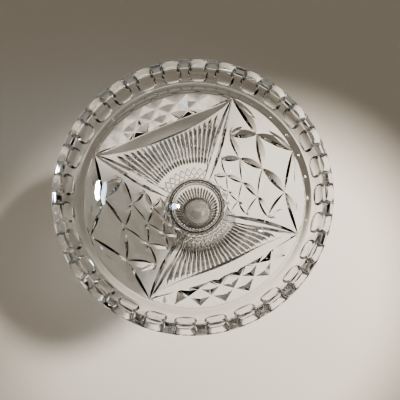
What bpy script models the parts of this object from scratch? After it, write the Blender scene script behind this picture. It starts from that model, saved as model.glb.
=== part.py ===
# Two-piece punch bowl of clear cut crystal: a flared round bowl, and the hollow fluted
# stand that it is lifted on and off.
# Metres, +Z up. The origin is the centre of the stand's foot, on the surface it stands on.
# The cut panels face +X and -X (diamond net) and +Y and -Y (fan); the prints round the rim
# are set out from those four directions.

import math

import bmesh
import bpy

MM = 0.001

# Overall sizes
HEIGHT = 342 * MM
RIM_RADIUS = 150 * MM
SEAT_HEIGHT = 189 * MM       # the bowl's flat land sits here on the stand's collar
TOUCH_GAP = 0.3 * MM         # between the land and the collar

# Bowl
LIP_WIDTH = 11.4 * MM
PAD_RADIUS = 40.9 * MM       # round pad under the bowl: it drops into the collar
PAD_DEPTH = 8 * MM
LAND_RADIUS = 45 * MM
FLOOR_THICKNESS = 10 * MM
PRINTS = 28                  # oval thumb prints round the rim band
PRINT_WIDTH = 25 * MM
PRINT_HEIGHT = 27 * MM
PRINT_DEPTH = 3.8 * MM
PRINT_CENTRE_DROP = 17 * MM  # below the rim
BOWL_SEGMENTS = PRINTS * 4

# Stand
COLLAR_BORE = 41.5 * MM
COLLAR_RADIUS = 45.8 * MM
WAIST_RADIUS = 43.5 * MM
FOOT_RADIUS = 60 * MM
FOOT_THICKNESS = 22 * MM
PUNT_RADIUS = 25 * MM        # ground hollow under the foot
PUNT_RISE = 10 * MM
FLUTES = 40
FLUTE_DEPTH = 0.9 * MM
STAND_SEGMENTS = FLUTES * 2

GLASS_COLOUR = (0.86, 0.87, 0.87, 1.0)
GLASS_IOR = 1.53


def clear_scene():
    for item in list(bpy.data.objects):
        bpy.data.objects.remove(item, do_unlink=True)


def crystal(name, roughness):
    material = bpy.data.materials.new(name)
    material.use_nodes = True
    shader = material.node_tree.nodes["Principled BSDF"]
    shader.inputs["Base Color"].default_value = GLASS_COLOUR
    shader.inputs["Metallic"].default_value = 0.0
    shader.inputs["Roughness"].default_value = roughness
    shader.inputs["IOR"].default_value = GLASS_IOR
    shader.inputs["Transmission Weight"].default_value = 1.0
    return material


def from_rim(points_mm):
    """Profile points given as steps inwards and down from the rim's outer edge, in millimetres."""
    return [(RIM_RADIUS - inwards * MM, HEIGHT - drop * MM) for inwards, drop in points_mm]


def arc(centre, radius, start_deg, end_deg, steps):
    points = []
    for i in range(steps + 1):
        angle = math.radians(start_deg + (end_deg - start_deg) * i / steps)
        points.append((centre[0] + radius * math.cos(angle), centre[1] + radius * math.sin(angle)))
    return points


def turn(name, profile, segments, material):
    """Spins a profile that starts and ends on the axis into one closed round body."""
    mesh = bpy.data.meshes.new(name)
    turned = bmesh.new()
    points = [turned.verts.new((radius, 0.0, z)) for radius, z in profile]
    edges = [turned.edges.new(pair) for pair in zip(points, points[1:])]
    bmesh.ops.spin(turned, geom=points + edges, cent=(0, 0, 0), axis=(0, 0, 1),
                   angle=2 * math.pi, steps=segments, use_merge=True)
    bmesh.ops.remove_doubles(turned, verts=turned.verts, dist=0.01 * MM)
    bmesh.ops.recalc_face_normals(turned, faces=turned.faces)
    turned.to_mesh(mesh)
    turned.free()
    mesh.shade_smooth()
    mesh.set_sharp_from_angle(angle=math.radians(35))
    mesh.materials.append(material)
    body = bpy.data.objects.new(name, mesh)
    bpy.context.scene.collection.objects.link(body)
    return body


def push_in(body, depth_at):
    """Moves each point towards the axis by depth_at(radius, turn angle, z)."""
    for vertex in body.data.vertices:
        x, y, z = vertex.co
        radius = math.hypot(x, y)
        depth = depth_at(radius, math.atan2(y, x), z)
        if depth > 0:
            vertex.co = (x * (1 - depth / radius), y * (1 - depth / radius), z)


def print_depth(radius, angle, z):
    """Depth of the oval prints on the outside of the rim band; one is centred on +X."""
    drop = HEIGHT - z
    inner_face = RIM_RADIUS - LIP_WIDTH - 0.12 * drop + 3 * MM
    if radius < inner_face or drop > 34 * MM:
        return 0.0
    pitch = 2 * math.pi / PRINTS
    across = (angle / pitch - round(angle / pitch)) * pitch * radius / (PRINT_WIDTH / 2)
    along = (drop - PRINT_CENTRE_DROP) / (PRINT_HEIGHT / 2)
    return PRINT_DEPTH * math.sqrt(max(0.0, 1 - across ** 2 - along ** 2))


def flute_depth(radius, angle, z):
    """Depth of the flutes down the outside of the stand, with a ridge between each two."""
    top = SEAT_HEIGHT - 12 * MM
    bottom = 24 * MM
    if not bottom < z < top or radius < WAIST_RADIUS - 1 * MM:
        return 0.0
    in_groove = round(angle / (math.pi / FLUTES)) % 2 == 1
    return FLUTE_DEPTH if in_groove else 0.0


def make_bowl():
    pad_bottom = SEAT_HEIGHT - PAD_DEPTH
    pad = [(0, pad_bottom), (PAD_RADIUS - 1 * MM, pad_bottom), (PAD_RADIUS, pad_bottom + 1 * MM),
           (PAD_RADIUS, SEAT_HEIGHT), (LAND_RADIUS, SEAT_HEIGHT)]
    wall = from_rim([(104.2, 148.6), (96.5, 140), (87, 129), (72, 108), (60, 89), (49, 70),
                     (35, 54.5), (18.4, 39.2)])
    ledge = from_rim([(17.6, 38.2), (9.2, 37.7), (7.3, 36.2)])
    band = from_rim([(6.4, 33), (5.4, 29), (4.1, 23), (2.8, 17), (1.6, 11), (0.5, 5)])
    lip = from_rim([(0, 2.5), (0, 1), (1.5, 0)])
    lip += [(RIM_RADIUS - LIP_WIDTH + 1.5 * MM, HEIGHT), (RIM_RADIUS - LIP_WIDTH, HEIGHT - 1.2 * MM)]
    inside = from_rim([(13.1, 27), (20, 35.3), (42, 48.5), (55, 63), (66, 81), (77, 99), (92, 117),
                       (108, 131), (126, 140), (142, 143)])
    floor = [(0, SEAT_HEIGHT + FLOOR_THICKNESS)]
    bowl = turn("bowl", pad + wall + ledge + band + lip + inside + floor, BOWL_SEGMENTS,
                crystal("bowl_crystal", 0.02))
    push_in(bowl, print_depth)
    return bowl


def make_stand():
    punt_ball = (PUNT_RADIUS ** 2 + PUNT_RISE ** 2) / (2 * PUNT_RISE)
    punt_edge = math.degrees(math.acos(PUNT_RADIUS / punt_ball))
    punt = arc((0, PUNT_RISE - punt_ball), punt_ball, 90, punt_edge, 4)
    foot = [(FOOT_RADIUS - 2 * MM, 0), (FOOT_RADIUS, 2 * MM), (FOOT_RADIUS, 7 * MM),
            (FOOT_RADIUS - 2 * MM, 10 * MM), (54 * MM, 20 * MM), (51 * MM, 32 * MM)]
    column = [(47 * MM, 55 * MM), (44.5 * MM, 85 * MM), (WAIST_RADIUS, 120 * MM),
              (44 * MM, 150 * MM), (44.5 * MM, 174 * MM)]
    collar_top = SEAT_HEIGHT - TOUCH_GAP
    collar = [(COLLAR_RADIUS, 179 * MM), (COLLAR_RADIUS, collar_top - 2.3 * MM),
              (COLLAR_RADIUS - 0.6 * MM, collar_top - 0.7 * MM), (44.2 * MM, collar_top),
              (43.1 * MM, collar_top), (COLLAR_BORE + 0.7 * MM, collar_top - 0.7 * MM),
              (COLLAR_BORE, collar_top - 2.1 * MM)]
    bore = [(COLLAR_BORE, 172 * MM), (40.2 * MM, 150 * MM), (39.6 * MM, 120 * MM),
            (40.6 * MM, 85 * MM), (42.4 * MM, 55 * MM), (44.5 * MM, 38 * MM)]
    floor = [(43 * MM, 29 * MM), (38 * MM, 24 * MM), (32 * MM, FOOT_THICKNESS),
             (0, FOOT_THICKNESS)]
    stand = turn("pedestal_stand", punt + foot + column + collar + bore + floor, STAND_SEGMENTS,
                 crystal("stand_crystal", 0.02))
    push_in(stand, flute_depth)
    return stand


def main():
    clear_scene()
    make_stand()
    make_bowl()


main()
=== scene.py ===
import math

import bmesh
import bpy
import numpy as np
from mathutils import Matrix, Vector, kdtree
from mathutils.geometry import delaunay_2d_cdt


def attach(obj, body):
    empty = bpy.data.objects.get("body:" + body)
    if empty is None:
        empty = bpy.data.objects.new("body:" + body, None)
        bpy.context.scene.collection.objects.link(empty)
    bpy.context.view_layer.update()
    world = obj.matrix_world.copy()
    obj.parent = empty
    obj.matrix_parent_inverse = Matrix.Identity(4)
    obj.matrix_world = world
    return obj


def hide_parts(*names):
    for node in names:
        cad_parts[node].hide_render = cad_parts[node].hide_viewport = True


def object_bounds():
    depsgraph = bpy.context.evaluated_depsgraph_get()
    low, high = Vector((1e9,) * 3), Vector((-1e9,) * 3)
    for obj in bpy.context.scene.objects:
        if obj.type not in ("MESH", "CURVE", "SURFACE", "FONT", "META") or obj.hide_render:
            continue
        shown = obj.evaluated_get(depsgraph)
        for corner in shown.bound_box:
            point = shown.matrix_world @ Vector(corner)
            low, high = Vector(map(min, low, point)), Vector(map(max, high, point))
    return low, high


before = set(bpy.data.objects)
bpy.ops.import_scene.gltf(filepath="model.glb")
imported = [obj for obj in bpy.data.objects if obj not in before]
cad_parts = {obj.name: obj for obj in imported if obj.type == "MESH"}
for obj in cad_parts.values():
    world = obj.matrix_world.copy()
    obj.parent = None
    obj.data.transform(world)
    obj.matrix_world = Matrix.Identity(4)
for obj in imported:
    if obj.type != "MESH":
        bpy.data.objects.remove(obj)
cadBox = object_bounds()
rimHeight = cadBox[1][2]               # the lip's top; the axis of bowl and stand is Z

mm = 0.001
deg = math.pi / 180
quarter = math.pi / 2

crystalLook = {
    "tint": (0.985, 0.99, 0.985, 1),
    "ior": 1.53,
    "waveScale": 22,                   # slow unevenness left by fire polishing
    "waveDepth": 0.02,                 # in mm
    "wipeScale": 60,                   # faint wiping marks
    "wipeFrom": (0.55, 0.75),          # the part of the noise that shows as marks
    "wipeRough": (0.0, 0.02),
}


def crystal(name, look, waveDepth):
    material = bpy.data.materials.new(name)
    material.use_nodes = True
    nodes, links = material.node_tree.nodes, material.node_tree.links
    shader = nodes["Principled BSDF"]
    shader.inputs["Base Color"].default_value = look["tint"]
    shader.inputs["IOR"].default_value = look["ior"]
    shader.inputs["Transmission Weight"].default_value = 1.0
    place = nodes.new("ShaderNodeTexCoord")
    wave = nodes.new("ShaderNodeTexNoise")
    wave.inputs["Scale"].default_value = look["waveScale"]
    wave.inputs["Detail"].default_value = 1.0
    bump = nodes.new("ShaderNodeBump")
    bump.inputs["Strength"].default_value = 1.0
    bump.inputs["Distance"].default_value = waveDepth * mm
    wipe = nodes.new("ShaderNodeTexNoise")
    wipe.inputs["Scale"].default_value = look["wipeScale"]
    wipe.inputs["Detail"].default_value = 3.0
    rough = nodes.new("ShaderNodeMapRange")
    rough.inputs["From Min"].default_value, rough.inputs["From Max"].default_value = look["wipeFrom"]
    rough.inputs["To Min"].default_value, rough.inputs["To Max"].default_value = look["wipeRough"]
    links.new(place.outputs["Object"], wave.inputs["Vector"])
    links.new(place.outputs["Object"], wipe.inputs["Vector"])
    links.new(wave.outputs["Fac"], bump.inputs["Height"])
    links.new(wipe.outputs["Fac"], rough.inputs["Value"])
    links.new(bump.outputs["Normal"], shader.inputs["Normal"])
    links.new(rough.outputs["Result"], shader.inputs["Roughness"])
    return material


def smoothLine(points, corners, steps):
    # points along a smooth line through the given ones, broken at the corners
    line = []
    marks = [0] + list(corners) + [len(points) - 1]
    for first, last in zip(marks, marks[1:]):
        run = points[first:last + 1]
        run = [run[0]] + run + [run[-1]]
        for a, b, c, d in zip(run, run[1:], run[2:], run[3:]):
            for j in range(steps):
                t = j / steps
                line.append(tuple(
                    b[k] + 0.5 * t * (c[k] - a[k] + t * (2 * a[k] - 5 * b[k] + 4 * c[k] - d[k]
                                                         + t * (3 * (b[k] - c[k]) + d[k] - a[k])))
                    for k in (0, 1)))
    return line + [points[-1]]


def addSector(mesh, profile, span, divisions, push=None):
    # sweeps a (radius, height) profile through the span; push(turn, radius, height) gives a new radius
    rings = []
    for radius, height in profile:
        if radius == 0:
            rings.append([mesh.verts.new((0, 0, height * mm))])
            continue
        ring = []
        for i in range(divisions + 1):
            turn = span * i / divisions
            r = push(turn, radius, height) if push else radius
            ring.append(mesh.verts.new((r * mm * math.cos(turn), r * mm * math.sin(turn), height * mm)))
        rings.append(ring)
    for a, b in zip(rings, rings[1:]):
        for i in range(divisions):
            corners = [a[min(i, len(a) - 1)], a[min(i + 1, len(a) - 1)],
                       b[min(i + 1, len(b) - 1)], b[min(i, len(b) - 1)]]
            mesh.faces.new([c for n, c in enumerate(corners) if c not in corners[:n]])


def turnsTree():
    # Geometry Nodes: a sector is mirrored about its own side and repeated round the axis
    tree = bpy.data.node_groups.new("mirroredTurns", "GeometryNodeTree")
    sockets = {}
    for label, kind in (("Sector", "Geometry"), ("Copies", "Int"), ("Merge Distance", "Float"),
                        ("Finish", "Material")):
        socket = tree.interface.new_socket(label, in_out="INPUT", socket_type="NodeSocket" + kind)
        sockets[label] = socket.identifier
    tree.interface.new_socket("Piece", in_out="OUTPUT", socket_type="NodeSocketGeometry")
    nodes, link = tree.nodes, tree.links.new
    given = nodes.new("NodeGroupInput")
    mirror = nodes.new("GeometryNodeTransform")
    mirror.inputs["Scale"].default_value = (1, -1, 1)
    flip = nodes.new("GeometryNodeFlipFaces")
    join = nodes.new("GeometryNodeJoinGeometry")
    places = nodes.new("GeometryNodePoints")
    index = nodes.new("GeometryNodeInputIndex")
    share = nodes.new("ShaderNodeMath")
    share.operation = "DIVIDE"
    share.inputs[0].default_value = 2 * math.pi
    angle = nodes.new("ShaderNodeMath")
    angle.operation = "MULTIPLY"
    turn = nodes.new("FunctionNodeAxisAngleToRotation")
    turn.inputs["Axis"].default_value = (0, 0, 1)
    copies = nodes.new("GeometryNodeInstanceOnPoints")
    realize = nodes.new("GeometryNodeRealizeInstances")
    merge = nodes.new("GeometryNodeMergeByDistance")
    finish = nodes.new("GeometryNodeSetMaterial")
    made = nodes.new("NodeGroupOutput")
    link(given.outputs["Sector"], mirror.inputs["Geometry"])
    link(mirror.outputs["Geometry"], flip.inputs["Mesh"])
    link(given.outputs["Sector"], join.inputs["Geometry"])
    link(flip.outputs["Mesh"], join.inputs["Geometry"])
    link(given.outputs["Copies"], places.inputs["Count"])
    link(given.outputs["Copies"], share.inputs[1])
    link(share.outputs[0], angle.inputs[0])
    link(index.outputs["Index"], angle.inputs[1])
    link(angle.outputs[0], turn.inputs["Angle"])
    link(places.outputs["Points"], copies.inputs["Points"])
    link(join.outputs["Geometry"], copies.inputs["Instance"])
    link(turn.outputs["Rotation"], copies.inputs["Rotation"])
    link(copies.outputs["Instances"], realize.inputs["Geometry"])
    link(realize.outputs["Geometry"], merge.inputs["Geometry"])
    link(given.outputs["Merge Distance"], merge.inputs["Distance"])
    link(merge.outputs["Geometry"], finish.inputs["Geometry"])
    link(given.outputs["Finish"], finish.inputs["Material"])
    link(finish.outputs["Geometry"], made.inputs["Piece"])
    return tree, sockets


turns, turnSockets = turnsTree()
print("node group for the mirrored turns is ready")


def turnedPiece(name, sector, copies, material, sharpDeg):
    # runs the sector through the tree and keeps the result as a plain closed mesh
    seed = bpy.data.meshes.new(name + "Sector")
    sector.to_mesh(seed)
    sector.free()
    holder = bpy.data.objects.new(name + "Sector", seed)
    bpy.context.scene.collection.objects.link(holder)
    modifier = holder.modifiers.new("turns", "NODES")
    modifier.node_group = turns
    modifier[turnSockets["Copies"]] = copies
    modifier[turnSockets["Merge Distance"]] = 0.004 * mm
    modifier[turnSockets["Finish"]] = material
    graph = bpy.context.evaluated_depsgraph_get()
    data = bpy.data.meshes.new_from_object(holder.evaluated_get(graph))
    holder.modifiers.clear()
    bpy.data.objects.remove(holder)
    whole = bmesh.new()
    whole.from_mesh(data)
    bmesh.ops.recalc_face_normals(whole, faces=whole.faces)
    print(name, "open edges:", sum(1 for e in whole.edges if len(e.link_faces) != 2), "triangles:",
          sum(len(f.verts) - 2 for f in whole.faces), "glass in ml:", round(whole.calc_volume() * 1e6))
    whole.to_mesh(data)
    whole.free()
    data.name = name
    data.shade_smooth()
    data.set_sharp_from_angle(angle=sharpDeg * deg)
    piece = bpy.data.objects.new(name, data)
    bpy.context.scene.collection.objects.link(piece)
    return piece


bowlShape = {                          # (radius, drop below the lip) in mm
    "outside": [(150, 1.5), (149.5, 5), (148.4, 11), (147.2, 17), (145.9, 23), (144.6, 29),
                (143.6, 33), (143, 36.4), (141.2, 38.1), (132.4, 37.8), (131.6, 38.8), (115, 54.5),
                (101, 70), (90, 89), (78, 108), (63, 129), (53.5, 140), (45.8, 148.6), (45.1, 150),
                (45, 153)],
    "outsideCorners": [6, 10],         # foot of the rim band, inner edge of the ledge
    "under": [(45, 153), (40.9, 153), (40.9, 159.6), (40.4, 160.7), (39.2, 161), (0, 161)],
    "lip": [(150, 1.5), (149.7, 0.7), (148.8, 0.15), (147.5, 0), (140.1, 0), (139.1, 0.3), (138.6, 1.2)],
    "inside": [(138.6, 1.2), (138.2, 10), (137.6, 20), (136.9, 27), (130, 35.3), (108, 48.5), (95, 63),
               (84, 81), (73, 99), (58, 117), (42, 131), (24, 140), (8, 143), (0, 143)],
    "insideCorners": [3, 4],           # the steep shoulder behind the ledge
    "panelRadius": 131.2,              # top of the cut panels
    "cutsEndRadius": 46.5,             # and their bottom, just above the pad
    "divisions": 84,                   # per quarter turn
    "plainStep": 2.6,                  # between the points of plain glass
    "printStep": 1.6,
    "sharpDeg": 13,
}

# The outside lies flat as (turn, fall): turn is the angle, and fall is the run down the wall
# with each step divided by its radius, so that shapes keep their proportions on the flat.
outline = np.array(smoothLine(bowlShape["outside"], bowlShape["outsideCorners"], 12))
steps = np.hypot(*np.diff(outline, axis=0).T)
runAt = np.concatenate([[0], np.cumsum(steps)])
fallAt = np.concatenate([[0], np.cumsum(2 * steps / (outline[1:, 0] + outline[:-1, 0]))])
along = np.gradient(outline, runAt, axis=0)
outwards = np.stack([along[:, 1], -along[:, 0]], 1) / np.hypot(*along.T)[:, None]


def radiusAt(fall):
    return np.interp(fall, fallAt, outline[:, 0])


def fallOfRun(run):
    return float(np.interp(run, runAt, fallAt))


def fallOfRadius(radius):
    return float(np.interp(-radius, -outline[:, 0], fallAt))


def standing(flat, depth):
    # flat points at a depth under the outside, as points on the standing bowl
    turn, fall = flat.T
    radius = np.interp(fall, fallAt, outline[:, 0]) - depth * np.interp(fall, fallAt, outwards[:, 0])
    drop = np.interp(fall, fallAt, outline[:, 1]) - depth * np.interp(fall, fallAt, outwards[:, 1])
    return np.stack([radius * np.cos(turn) * mm, radius * np.sin(turn) * mm, rimHeight - drop * mm], 1)


bandFall = fallOfRadius(bowlShape["outside"][6][0])      # foot of the rim band
wallFall = fallOfRadius(bowlShape["panelRadius"])
endFall = fallOfRadius(bowlShape["cutsEndRadius"])
footFall = float(fallAt[-1])


class Cut:
    # a V groove along a line on the flat, with a half width in mm at each of its points

    def __init__(self, line, widths, slope):
        self.line, self.widths, self.slope = np.array(line, float), np.array(widths, float), slope
        self.radii = radiusAt(self.line[:, 1])
        ahead = np.gradient(self.line, axis=0)
        side = np.stack([-ahead[:, 1], ahead[:, 0]], 1) / np.hypot(*ahead.T)[:, None]
        offset = side * (self.widths / self.radii)[:, None]
        self.edges = [self.line, self.line + offset, self.line - offset]

    def depth(self, flat):
        reach = self.widths.max() / self.radii.min() + 0.01
        near = np.all((flat > self.line.min(0) - reach) & (flat < self.line.max(0) + reach), axis=1)
        p = flat[near]
        deepest = np.zeros(len(p))
        for i in range(len(self.line) - 1):
            a, step = self.line[i], self.line[i + 1] - self.line[i]
            t = np.clip(((p - a) @ step) / (step @ step), 0, 1)
            radius = self.radii[i] + (self.radii[i + 1] - self.radii[i]) * t
            gap = np.hypot(*(p - a - t[:, None] * step).T) * radius
            width = self.widths[i] + (self.widths[i + 1] - self.widths[i]) * t
            deepest = np.maximum(deepest, (width - gap) * self.slope)
        depth = np.zeros(len(flat))
        depth[near] = deepest
        return depth


def leaf(start, end, halfWidth, slope, bow=0.0, points=11):
    # a leaf-shaped cut, pointed at both ends; bow curves it sideways
    a, b = np.array(start, float), np.array(end, float)
    side = np.array([-(b - a)[1], (b - a)[0]])
    line, widths = [], []
    for i in range(points):
        t = 0.5 - 0.5 * math.cos(math.pi * i / (points - 1))
        line.append(a + (b - a) * t + side * bow * 4 * t * (1 - t))
        widths.append(halfWidth * (4 * t * (1 - t)) ** 0.85)
    return Cut(line, widths, slope)


netCut = {                             # diamond net of long leaves, centred on +X and -X
    "radii": [131.2, 114.3, 100.3, 89.2, 77, 66.5, 57, 50.5, 46.5],
    "columnDeg": [0, 21.5, 0, 20, 0, 19.5, 0, 17.5, 0],
    "edgeDeg": [45, None, 38, None, 36, None, 35, None, 34],
    "halfWidth": [5.4, 5.6, 5.4, 5.0, 4.4, 3.8, 3.1, 2.5],
    "slope": 0.95,
    "shortLeaves": ((0, 17.5), (45, 27.5)),    # turns of the short leaves beside the long ones
    "shortFall": 0.075,
    "shortHalfWidth": 2.2,
}


def netCuts():
    cuts = []
    falls = [fallOfRadius(r) for r in netCut["radii"]]
    column, edge, slope = netCut["columnDeg"], netCut["edgeDeg"], netCut["slope"]
    for i, (upper, lower) in enumerate(zip(falls, falls[1:])):
        if i % 2 == 0:                 # from the middle and the edge to the inner column
            pairs = [(column[i], column[i + 1]), (edge[i], column[i + 1])]
        else:
            pairs = [(column[i], column[i + 1]), (column[i], edge[i + 1])]
        for start, end in pairs:
            cuts.append(leaf((start * deg, upper), (end * deg, lower), netCut["halfWidth"][i], slope))
    for start, end in netCut["shortLeaves"]:
        cuts.append(leaf((start * deg, falls[0]), (end * deg, falls[0] + netCut["shortFall"]),
                         netCut["shortHalfWidth"], slope))
    for i in (2, 4, 6):                # small stars at the net's edge
        turn, fall = edge[i] * deg, falls[i]
        size = netCut["radii"][i] / 100
        cuts.append(leaf((turn - 0.10 * size, fall - 0.17 * size), (turn, fall), 3.0 * size, slope))
        cuts.append(leaf((turn + 0.005, fall - 0.12 * size), (turn, fall), 1.6 * size, slope))
        cuts.append(leaf((turn - 0.11 * size, fall + 0.03 * size), (turn, fall), 1.5 * size, slope))
    return cuts


borderCut = {"slope": 0.95, "spreadDeg": 4.6, "halfWidths": (3.3, 2.8)}


def borderCuts():
    # long cuts down each side of the plain spear between net and fan
    cuts = []
    for side, width in zip((-1, 1), borderCut["halfWidths"]):
        line, widths = [], []
        for i in range(25):
            t = i / 24
            spread = borderCut["spreadDeg"] * math.sin(quarter * min(1.0, t * 1.25)) ** 0.8
            line.append(((45 + side * spread) * deg, wallFall + (endFall - wallFall) * t))
            widths.append(width * math.sin(math.pi * t ** 0.75) ** 0.8 * (1 - 0.45 * t))
        cuts.append(Cut(line, widths, borderCut["slope"]))
    return cuts


fanCut = {                             # flutes under a swag of raised diamonds, centred on +Y and -Y
    "pitchDeg": 90 / 23,
    "flutes": 21,
    "land": 0.2,                       # share of the pitch left between two flutes
    "slope": 0.85,
    "footRadius": 65.5,                # where the flutes end
    "roundTop": 7,                     # how far in mm the ends of a flute run out
    "roundFoot": 4,
    "swagRadii": (105.9, 97.6),        # the plain swag at its lowest: upper and lower edge
    "swagPower": 0.78,
    "swagSlope": 0.55,
    "edge": 0.012,                     # narrow step round the diamonds
    "diamondDeg": 90 / 7,
    "diamondStep": 0.088,
    "diamondDepth": 3.9,
    "grooveFlat": 0.86,
    "bevelSlope": 1.2,
}


def swagEdge(turn, lower):
    # fall of the swag's upper (0) or lower (1) edge at a turn
    across = np.clip(np.abs(np.asarray(turn, float) / deg - 90) / 45, 0, 1)
    hang = fallOfRadius(fanCut["swagRadii"][lower]) - wallFall
    return wallFall + lower * fanCut["edge"] + hang * (1 - across ** 2) ** fanCut["swagPower"]


def fluteCuts():
    cuts = []
    pitch = fanCut["pitchDeg"] * deg
    foot = fallOfRadius(fanCut["footRadius"])
    half = fanCut["flutes"] // 2
    for k in range(-half, half + 1):
        turn = quarter + k * pitch
        top = float(max(swagEdge(turn - pitch / 2, 1), swagEdge(turn + pitch / 2, 1))) + 0.006
        if top > foot - 0.1:
            continue
        line, widths = [], []
        for i in range(17):
            t = i / 16
            fall = top + (foot - top) * t
            radius = radiusAt(fall)
            full = pitch / 2 * radius * (1 - fanCut["land"])
            topEnd = min(1, math.sqrt((fall - top) * radius / fanCut["roundTop"]))
            footEnd = min(1, math.sqrt((foot - fall) * radius / fanCut["roundFoot"]))
            widths.append(full * topEnd * footEnd)
            line.append((turn, fall))
        cuts.append(Cut(line, widths, fanCut["slope"]))
    return cuts


sparkCut = {"radii": (61.5, 56, 51, 47), "pitchDeg": 10, "reachDeg": 41, "halfWidth": 1.3, "slope": 0.7}


def sparkCuts():
    # rows of small leaves between the flutes and the stand's collar
    cuts = []
    rows = [fallOfRadius(r) for r in sparkCut["radii"]]
    pitch = sparkCut["pitchDeg"]
    for row in range(3):
        for k in range(-4, 5):
            a = (90 + (k + 0.5 * (row % 2)) * pitch) * deg
            for side in (-0.5, 0.5):
                b = a + side * pitch * deg
                if abs(b / deg - 90) < sparkCut["reachDeg"]:
                    cuts.append(leaf((a, rows[row]), (b, rows[row + 1]), sparkCut["halfWidth"],
                                     sparkCut["slope"], points=7))
    return cuts


def swagDepth(flat):
    # the plain swag is a flat facet, deepest along its lower edge
    turn, fall = flat.T
    deep = (fall - swagEdge(turn, 0)) * radiusAt(fall) * fanCut["swagSlope"]
    return np.where(fall < swagEdge(turn, 1) + 1e-4, np.clip(deep, 0, None), 0)


def diamondDepth(flat):
    # raised four-sided points between the swag and the shoulder
    turn, fall = flat.T
    across = (turn / deg - 90) / fanCut["diamondDeg"]
    rows = (fall - wallFall) / fanCut["diamondStep"]
    a, b = across + rows / 2 + 0.5, across - rows / 2 + 0.5
    groove = np.maximum(np.abs(2 * (a - np.floor(a)) - 1), np.abs(2 * (b - np.floor(b)) - 1))
    groove = np.minimum(groove, fanCut["grooveFlat"]) * fanCut["diamondDepth"]
    room = np.minimum(fall - wallFall, (swagEdge(turn, 0) - fanCut["edge"] - fall) * 0.9)
    room = room * radiusAt(fall)
    return np.clip(np.minimum(groove, room * fanCut["bevelSlope"]), 0, None)


def diamondLines():
    # grooves and ridges of the diamonds, cut off where their field ends
    wide, step = fanCut["diamondDeg"] * deg, fanCut["diamondStep"]
    flatHalf = (1 - fanCut["grooveFlat"]) / 2
    lines = []
    for k in range(-4, 5):
        for row in range(0, 5):
            node = np.array((quarter + (k + 0.5 - 0.5 * (row % 2)) * wide, wallFall + row * step))
            for side in (-0.5, 0.5):
                end = node + (side * wide, step)
                for shift in (-flatHalf * wide, flatHalf * wide):
                    lines.append((node + (shift, 0), end + (shift, 0)))
            if row:
                lines.append((node, node + (wide, 0)))
            lines.append((node, node + (0, 2 * step)))
    kept = []
    for a, b in lines:
        points = a + (b - a) * np.linspace(0, 1, 41)[:, None]
        inside = (points[:, 1] < swagEdge(points[:, 0], 0) - fanCut["edge"]) \
            & (points[:, 1] > wallFall) & (np.abs(points[:, 0] / deg - 90) < 43)
        if inside.sum() > 1:
            first, last = np.flatnonzero(inside)[[0, -1]]
            kept.append((points[first], points[last]))
    return kept


thumbPrint = {                         # oval hollows round the rim band, one centred on +X; mm
    "count": 28,
    "halfWidth": 12.4,
    "halfHeight": 14.2,
    "centre": 16.6,                    # below the lip, along the band
    "edge": 0.2,                       # share of the half size that the steep edge takes
    "edgeDepth": 3.5,
    "domeDepth": 2.4,
    "squareness": 2.5,
}


def printOutline(k, scale):
    pitch = 2 * math.pi / thumbPrint["count"]
    centre = fallOfRun(thumbPrint["centre"])
    radius, power = float(radiusAt(centre)), thumbPrint["squareness"]
    points = []
    for i in range(49):
        c, s = math.cos(2 * math.pi * i / 48), math.sin(2 * math.pi * i / 48)
        reach = scale * (abs(c) ** power + abs(s) ** power) ** (-1 / power) / radius
        points.append((k * pitch + c * reach * thumbPrint["halfWidth"],
                       centre + s * reach * thumbPrint["halfHeight"]))
    return points


def printDepth(flat):
    pitch = 2 * math.pi / thumbPrint["count"]
    centre = fallOfRun(thumbPrint["centre"])
    radius, power = float(radiusAt(centre)), thumbPrint["squareness"]
    turn = flat[:, 0] - np.round(flat[:, 0] / pitch) * pitch
    across = turn * radius / thumbPrint["halfWidth"]
    down = (flat[:, 1] - centre) * radius / thumbPrint["halfHeight"]
    inwards = 1 - (np.abs(across) ** power + np.abs(down) ** power) ** (1 / power)
    dome = thumbPrint["edgeDepth"] + thumbPrint["domeDepth"] * (1 - down ** 2)
    return dome * np.clip(inwards / thumbPrint["edge"], 0, 1)


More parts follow.
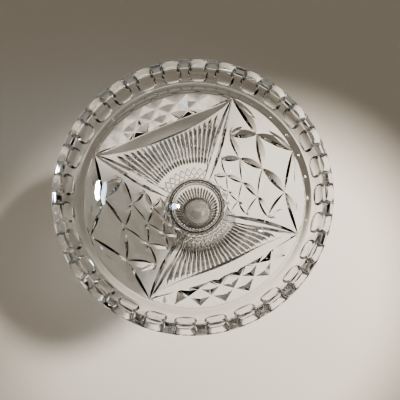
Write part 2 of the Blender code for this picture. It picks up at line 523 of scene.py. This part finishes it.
def cutSheet():
    # the outside of a quarter turn, from the net's middle (0) to the fan's (90 degrees)
    divisions = bowlShape["divisions"]
    cuts = netCuts() + borderCuts() + fluteCuts() + sparkCuts()
    points, edges = [], []

    def addLine(line):
        first = len(points)
        points.extend(tuple(map(float, p)) for p in line)
        edges.extend((first + i, first + i + 1) for i in range(len(line) - 1))

    def level(fall):
        return [(quarter * i / divisions, fall) for i in range(divisions + 1)]

    cornerRadii = [bowlShape["outside"][c][0] for c in bowlShape["outsideCorners"]]
    for fall in [0.0, footFall] + [fallOfRadius(r) for r in cornerRadii]:
        addLine(level(fall))
    for turn in (0, quarter):          # the quarter's two sides, which the mirrored copies share
        fall, side = 0.0, []
        while fall < footFall - 0.01:
            side.append((turn, fall))
            fall += (1.0 if fall < bandFall else 2.0) / float(radiusAt(fall))
        addLine(side + [(turn, footFall)])
    for cut in cuts:
        for line in cut.edges:
            addLine(line)
    for k in range(thumbPrint["count"] // 4 + 1):
        for scale in (1, 1 - thumbPrint["edge"], 0.93 - thumbPrint["edge"]):
            addLine(printOutline(k, scale))
    for line in diamondLines():
        addLine(line)
    swag = [quarter + a * deg for a in np.linspace(-44.5, 0.6, 46)]
    step = fanCut["edge"]
    addLine([(t, float(swagEdge(t, 1))) for t in swag])
    addLine([(t, float(swagEdge(t, 1)) + step / 2) for t in swag if t > 47 * deg])
    addLine([(t, float(swagEdge(t, 0))) for t in swag])
    addLine([(t, float(swagEdge(t, 0)) - step) for t in swag if t > 48 * deg])
    addLine([(t, wallFall) for t in swag])
    addLine([(t, wallFall + step) for t in swag if t > 47 * deg])

    # plain glass between the lines gets evenly spaced points of its own
    samples = []
    for a, b in edges:
        start, step = np.array(points[a]), np.array(points[b]) - np.array(points[a])
        count = max(1, int(np.hypot(*step) * float(radiusAt(start[1] + step[1] / 2)) / 0.8))
        samples.extend(start + step * i / count for i in range(count + 1))
    tree = kdtree.KDTree(len(samples))
    for i, s in enumerate(samples):
        tree.insert((s[0], s[1], 0), i)
    tree.balance()
    fill, fall, row = [], 0.0, 0
    while fall < footFall:
        radius = float(radiusAt(fall))
        across = (bowlShape["printStep"] if fall < bandFall else bowlShape["plainStep"]) / radius
        count = round(quarter / across)
        fill.extend((quarter * (i + 0.25 + 0.5 * (row % 2)) / count, fall) for i in range(count))
        fall += across * 0.87
        row += 1
    fill = np.array(fill)
    taken = np.zeros(len(fill), bool)
    for cut in cuts:
        taken |= cut.depth(fill) > 0
    overFan = fill[:, 0] > 46 * deg
    taken |= overFan & (fill[:, 1] > wallFall) & (fill[:, 1] < swagEdge(fill[:, 0], 0))
    for point, isTaken in zip(fill, taken):
        if isTaken or not 0.004 < point[1] < footFall - 0.004:
            continue
        step = bowlShape["printStep"] if point[1] < bandFall else bowlShape["plainStep"]
        if tree.find((point[0], point[1], 0))[2] * float(radiusAt(point[1])) > 0.42 * step:
            points.append((float(point[0]), float(point[1])))

    flat, _, faces, _, _, _ = delaunay_2d_cdt([Vector(p) for p in points], edges, [], 0, 1e-5, True)
    flat = np.array([tuple(v) for v in flat])
    middles = np.array([flat[list(f)].mean(0) for f in faces])
    inside = (middles > 0).all(1) & (middles[:, 0] < quarter) & (middles[:, 1] < footFall)
    faces = [f for f, keep in zip(faces, inside) if keep]
    used = sorted({v for f in faces for v in f})
    newIndex = {v: i for i, v in enumerate(used)}
    flat = flat[used]
    flat[:, 0] = np.clip(flat[:, 0], 0, quarter)
    print("cut sheet:", len(cuts), "cuts,", len(flat), "points,", len(faces), "faces a quarter")

    depth = np.zeros(len(flat))
    for cut in cuts:
        depth = np.maximum(depth, cut.depth(flat))
    inBand = flat[:, 1] < bandFall - 1e-4
    depth[inBand] = printDepth(flat[inBand])
    overFan = (flat[:, 0] > 45.5 * deg) & (flat[:, 1] > wallFall - 1e-4)
    depth[overFan] = np.maximum(depth[overFan], swagDepth(flat[overFan]))
    field = overFan & (flat[:, 1] < swagEdge(flat[:, 0], 0) - 1e-4)
    depth[field] = np.maximum(depth[field], diamondDepth(flat[field]))
    depth[(flat[:, 1] < 1e-5) | (flat[:, 1] > footFall - 1e-5)] = 0
    return standing(flat, depth), [[newIndex[v] for v in f] for f in faces]


def makeBowl(material):
    points, faces = cutSheet()
    sector = bmesh.new()
    verts = [sector.verts.new(p) for p in points]
    for face in faces:
        sector.faces.new([verts[i] for i in face])
    lip = smoothLine(bowlShape["lip"], [], 2)
    inside = smoothLine(bowlShape["inside"], bowlShape["insideCorners"], 4)
    for profile in (lip + inside[1:], bowlShape["under"]):
        heights = [(radius, rimHeight / mm - drop) for radius, drop in profile]
        addSector(sector, heights, quarter, bowlShape["divisions"])
    return turnedPiece("punchBowl", sector, 2, material, bowlShape["sharpDeg"])


standShape = {                         # (radius, height) in mm, up the outside and back down inside
    "profile": [(0, 8.6), (2.2, 8.8), (4, 9.8), (10, 8.4), (18, 4.8), (25, 0), (58, 0), (60, 2),
                (60, 7), (58, 10), (54.6, 17), (51.6, 30), (47, 55), (44.5, 85), (43.5, 120), (44, 150),
                (44.8, 172), (45.8, 184), (45.8, 186.4), (45, 188), (43.7, 188.7), (42.6, 188.2),
                (41.6, 186.6), (41.5, 172), (40.2, 150), (39.6, 120), (40.6, 85), (42.4, 55),
                (44.5, 38), (43, 29), (38, 24), (32, 22), (26, 22), (24.5, 21.2), (23, 22), (0, 22)],
    "corners": [2, 5, 6, 9, 32, 34],
    "collarFoot": (45.8, 184),         # the outside ends here; the collar above it is plain
    "flutes": 40,
    "fluteDepth": 1.2,
    "fluteHeights": (26, 172),
    "fluteRounds": (9, 5),             # how far in mm the lower and upper ends run out
    "sharpDeg": 20,
}


def makeStand(material):
    half = math.pi / standShape["flutes"]
    bottom, top = standShape["fluteHeights"]
    lowRound, highRound = standShape["fluteRounds"]

    def pushIn(turn, radius, height):
        # the outside is hollowed between sharp ridges; the flutes end in round scallops
        if not bottom < height < top:
            return radius
        ends = min(1, math.sqrt((height - bottom) / lowRound), math.sqrt((top - height) / highRound))
        return radius - standShape["fluteDepth"] * ends * math.sin(quarter * turn / half) ** 0.8

    sector = bmesh.new()
    profile = smoothLine(standShape["profile"], standShape["corners"], 4)
    outside = profile[:standShape["profile"].index(standShape["collarFoot"]) * 4]
    addSector(sector, outside, half, 4, pushIn)
    addSector(sector, profile[len(outside) - 1:], half, 4)
    return turnedPiece("flutedStand", sector, standShape["flutes"], material, standShape["sharpDeg"])


bowl = makeBowl(crystal("bowlCrystal", crystalLook, crystalLook["waveDepth"]))
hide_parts("bowl")
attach(bowl, "basin")
stand = makeStand(crystal("standCrystal", crystalLook, 2 * crystalLook["waveDepth"]))
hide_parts("pedestal_stand")
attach(stand, "stand")

studio = {
    "floorHalf": 1.5,
    "floorColour": (0.72, 0.66, 0.58, 1),
    "ambient": ((1.0, 0.95, 0.87, 1), 0.24),
    "viewTurnDeg": -23.15,             # the camera's right is turned this far from +X
    # place and aim as the camera sees them, radius, watts, beam in degrees, soft edge, colour
    "lamps": {
        "keyLamp": ((0.866, 0.216, 1.35), (0.08, -0.12, 0), 0.105, 116, 29, 0.2, (1.0, 0.965, 0.92)),
        "coolLamp": ((0.82, 0.2, 1.02), (0, 0, 0.2), 0.12, 14, 40, 1.0, (0.6, 0.8, 1.0)),
    },
    "lens": 27,
    "cameraPlace": (0.01588, -0.07008, 0.31113),       # its last number is above the lip
    "cameraTilt": (0.175, 0.022),
    "look": "AgX - High Contrast",
    "bounces": 24,                     # light crosses many walls of glass
}


def makeFloor():
    sheet = bmesh.new()
    bmesh.ops.create_grid(sheet, x_segments=1, y_segments=1, size=studio["floorHalf"])
    data = bpy.data.meshes.new("paleFloor")
    sheet.to_mesh(data)
    sheet.free()
    material = bpy.data.materials.new("paleFloor")
    material.use_nodes = True
    shader = material.node_tree.nodes["Principled BSDF"]
    shader.inputs["Base Color"].default_value = studio["floorColour"]
    shader.inputs["Roughness"].default_value = 0.9
    data.materials.append(material)
    floor = bpy.data.objects.new("paleFloor", data)
    floor.location.z = -0.3 * mm
    bpy.context.scene.collection.objects.link(floor)


def makeWorld():
    world = bpy.data.worlds.new("studio")
    bpy.context.scene.world = world
    world.use_nodes = True
    background = world.node_tree.nodes["Background"]
    colour, strength = studio["ambient"]
    background.inputs["Color"].default_value = colour
    background.inputs["Strength"].default_value = strength


def makeLamps(viewTurn):
    for name, (place, aim, size, power, beamDeg, edge, colour) in studio["lamps"].items():
        light = bpy.data.lights.new(name, "SPOT")
        light.shadow_soft_size, light.energy, light.color = size, power, colour
        light.spot_size, light.spot_blend = beamDeg * deg, edge
        holder = bpy.data.objects.new(name, light)
        place, aim = viewTurn @ Vector(place), viewTurn @ Vector(aim)
        facing = (place - aim).to_track_quat("Z", "Y").to_matrix().to_4x4()
        holder.matrix_world = Matrix.Translation(place) @ facing
        bpy.context.scene.collection.objects.link(holder)


def makeCamera(viewTurn):
    lens = bpy.data.cameras.new("camera")
    lens.lens, lens.clip_start = studio["lens"], 0.01
    camera = bpy.data.objects.new("camera", lens)
    place = Vector(studio["cameraPlace"]) + Vector((0, 0, rimHeight))
    tiltX, tiltY = studio["cameraTilt"]
    camera.matrix_world = viewTurn @ Matrix.Translation(place) \
        @ Matrix.Rotation(tiltY, 4, "Y") @ Matrix.Rotation(tiltX, 4, "X")
    bpy.context.scene.collection.objects.link(camera)
    bpy.context.scene.camera = camera


viewTurn = Matrix.Rotation(studio["viewTurnDeg"] * deg, 4, "Z")
makeFloor()
makeWorld()
makeLamps(viewTurn)
makeCamera(viewTurn)
bpy.context.scene.view_settings.look = studio["look"]
bpy.context.scene.cycles.max_bounces = studio["bounces"]
bpy.context.scene.cycles.transmission_bounces = studio["bounces"]
print("floor, lights and camera are in place")
